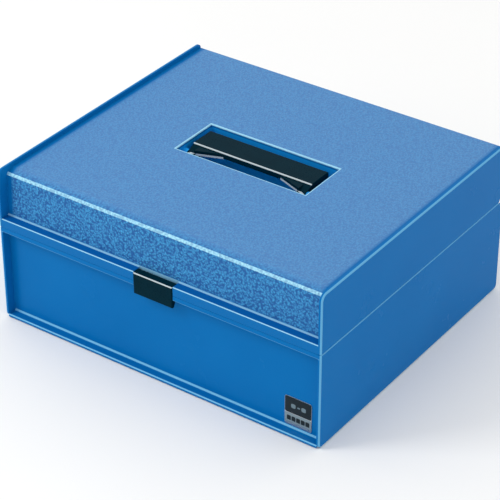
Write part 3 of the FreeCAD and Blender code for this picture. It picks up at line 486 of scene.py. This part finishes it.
# ------------------------------------------------------------------ handle and latch
# Black moulded pieces: the handle folded flat in its well and the latch clip across the seam.
# Satin nylon with a green-blue cast, with painted highlights along its rounded edges.
_, grip_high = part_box("handle_grip")
latch_low, latch_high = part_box("latch_clip")
GRIP_DEPTH, PIVOT_SETBACK, GRIP_SETBACK = 26.0 * MM, 11.0 * MM, 17.5 * MM
LUG_RADIUS, LEG_WIDTH, WEB_REACH, WEB_DROP = 4.6 * MM, 8.0 * MM, 24.0 * MM, 5.3 * MM
well_front = grip_high.y - GRIP_DEPTH - GRIP_SETBACK
web_outer = (grip_high.x - LEG_WIDTH + MM, well_front + PIVOT_SETBACK - LUG_RADIUS / 2)
web_inner = (grip_high.x - LEG_WIDTH - WEB_REACH, well_front + GRIP_SETBACK + 0.5 * MM)
WEB_SLOPE = (web_outer[1] - web_inner[1]) / (web_outer[0] - web_inner[0])
WEB_START = web_inner[1] - WEB_SLOPE * web_inner[0] + 0.5 * MM
NYLON_CLOUD_MM, SHEEN_MM, PAINTED_EDGE_STRENGTH = 9.09, 1.205, 0.8


def black_nylon():
    """Satin glass-filled nylon: near black, 1.2 mm haze in the shine, painted highlight lines along
    the front edge of the grip, the foot of its webs and the upper edge of the latch. IOR 1.53."""
    material, tree, place, axes = new_material("satin black nylon")
    mottle = add(tree, "ShaderNodeTexNoise", {"Vector": place,
                                              "Scale": 1000 / NYLON_CLOUD_MM, "Detail": 4.0})
    black = add(tree, "ShaderNodeMix", {"Factor": mottle.outputs[0], 6: linear("#001e2a"),
                                        7: linear("#022834")}, data_type="RGBA").outputs[2]
    across = add(tree, "ShaderNodeMath", {0: axes[0]}, operation="ABSOLUTE").outputs[0]
    along_web = add(tree, "ShaderNodeMath", {0: across, 1: -WEB_SLOPE, 2: axes[1]},
                    operation="MULTIPLY_ADD").outputs[0]
    # Painted highlights, in this order: front edge of the grip, upper edge of the latch, foot of
    # the webs.
    painted_edge_highlight = edge_bands(tree, [
        (PAINTED_EDGE_STRENGTH, (axes[1], grip_high.y - GRIP_DEPTH + 0.4 * MM, 0.5 * MM),
         (axes[2], grip_high.z, 1.0 * MM)),
        (PAINTED_EDGE_STRENGTH, (axes[1], latch_low.y, 0.8 * MM), (axes[2], latch_high.z, 0.8 * MM)),
        (PAINTED_EDGE_STRENGTH, (along_web, WEB_START, 0.8 * MM),
         (axes[2], grip_high.z - WEB_DROP, 1.0 * MM))])
    colour = add(tree, "ShaderNodeMix", {"Factor": painted_edge_highlight, 6: black, 7: linear("#d3dee2")},
                 data_type="RGBA").outputs[2]
    haze = add(tree, "ShaderNodeTexNoise", {"Vector": place, "Scale": 1000 / SHEEN_MM,
                                            "Detail": 4.0})
    rough = add(tree, "ShaderNodeMapRange", {"Value": haze.outputs[0], "From Min": 0.3,
                                             "From Max": 0.7, "To Min": 0.24, "To Max": 0.36})
    bump = add(tree, "ShaderNodeBump", {"Height": haze.outputs[0], "Strength": 0.2,
                                        "Distance": 0.04 * MM})
    shader = add(tree, "ShaderNodeBsdfPrincipled",
                 {"Base Color": colour, "Roughness": rough.outputs[0], "IOR": 1.53,
                  "Specular IOR Level": 0.02, "Normal": bump.outputs[0]})
    add(tree, "ShaderNodeOutputMaterial", {"Surface": shader.outputs["BSDF"]})
    return material


nylon = black_nylon()
dress(nylon, "handle_grip", "latch_clip")

# ------------------------------------------------------------------ floor, light and camera
# A pale sheet under the case in an even white room, and one soft key light high at the front left
# that brightens the front and gives the grain its relief.
FLOOR_HALF, CARD_CLOUD_MM, ROOM_LIGHT = 6.0, 303, 0.94
KEY_PLACE, KEY_SIZE, KEY_WATTS = (-1.06, -1.20, 1.55), 0.6, 12


def pale_card():
    """Matt white card with faint 300 mm clouds."""
    material, tree, place, _ = new_material("pale matt card")
    clouds = add(tree, "ShaderNodeTexNoise", {"Vector": place, "Scale": 1000 / CARD_CLOUD_MM})
    colour = add(tree, "ShaderNodeMix", {"Factor": clouds.outputs[0], 6: linear("#f6f6f5"),
                                         7: linear("#fafaf9")}, data_type="RGBA").outputs[2]
    shader = add(tree, "ShaderNodeBsdfPrincipled", {"Base Color": colour, "Roughness": 0.9,
                                                    "Specular IOR Level": 0.2})
    add(tree, "ShaderNodeOutputMaterial", {"Surface": shader.outputs["BSDF"]})
    return material


floor_mesh = bpy.data.meshes.new("floor")
floor_mesh.from_pydata([(-FLOOR_HALF, -FLOOR_HALF, 0), (FLOOR_HALF, -FLOOR_HALF, 0),
                        (FLOOR_HALF, FLOOR_HALF, 0), (-FLOOR_HALF, FLOOR_HALF, 0)],
                       [], [(0, 1, 2, 3)])
floor = bpy.data.objects.new("floor", floor_mesh)
floor_mesh.materials.append(pale_card())
bpy.context.scene.collection.objects.link(floor)

room = bpy.data.worlds.new("room")
room.use_nodes = True
room.node_tree.nodes["Background"].inputs["Color"].default_value = (1, 1, 1, 1)
room.node_tree.nodes["Background"].inputs["Strength"].default_value = ROOM_LIGHT
bpy.context.scene.world = room
bpy.context.scene.view_settings.view_transform = "Standard"

middle = Vector((0, 0, (cad_low[2] + cad_high[2]) / 2))
key = bpy.data.lights.new("key", "AREA")
key.size, key.energy = KEY_SIZE, KEY_WATTS
lamp = bpy.data.objects.new("key", key)
lamp.location = KEY_PLACE
lamp.rotation_euler = (middle - Vector(KEY_PLACE)).to_track_quat("-Z", "Y").to_euler()
bpy.context.scene.collection.objects.link(lamp)

# The camera stands 35 degrees to the right of the front and 33 degrees up, well back behind a
# long lens.
AZIMUTH, ELEVATION = math.radians(35.23), math.radians(32.74)
DISTANCE, LENS_MM, SENSOR_MM = 1.815, 150.4, 36.0
AIM_RIGHT, AIM_UP = -0.0032, -0.0163
right = Vector((math.cos(AZIMUTH), math.sin(AZIMUTH), 0))
back = Vector((math.sin(AZIMUTH) * math.cos(ELEVATION), -math.cos(AZIMUTH) * math.cos(ELEVATION),
               math.sin(ELEVATION)))
up = back.cross(right)
lens = bpy.data.cameras.new("camera")
lens.lens, lens.sensor_width = LENS_MM, SENSOR_MM
camera = bpy.data.objects.new("camera", lens)
camera.matrix_world = Matrix((right, up, back)).transposed().to_4x4()
camera.location = middle + back * DISTANCE + right * AIM_RIGHT + up * AIM_UP
bpy.context.scene.collection.objects.link(camera)
bpy.context.scene.camera = camera
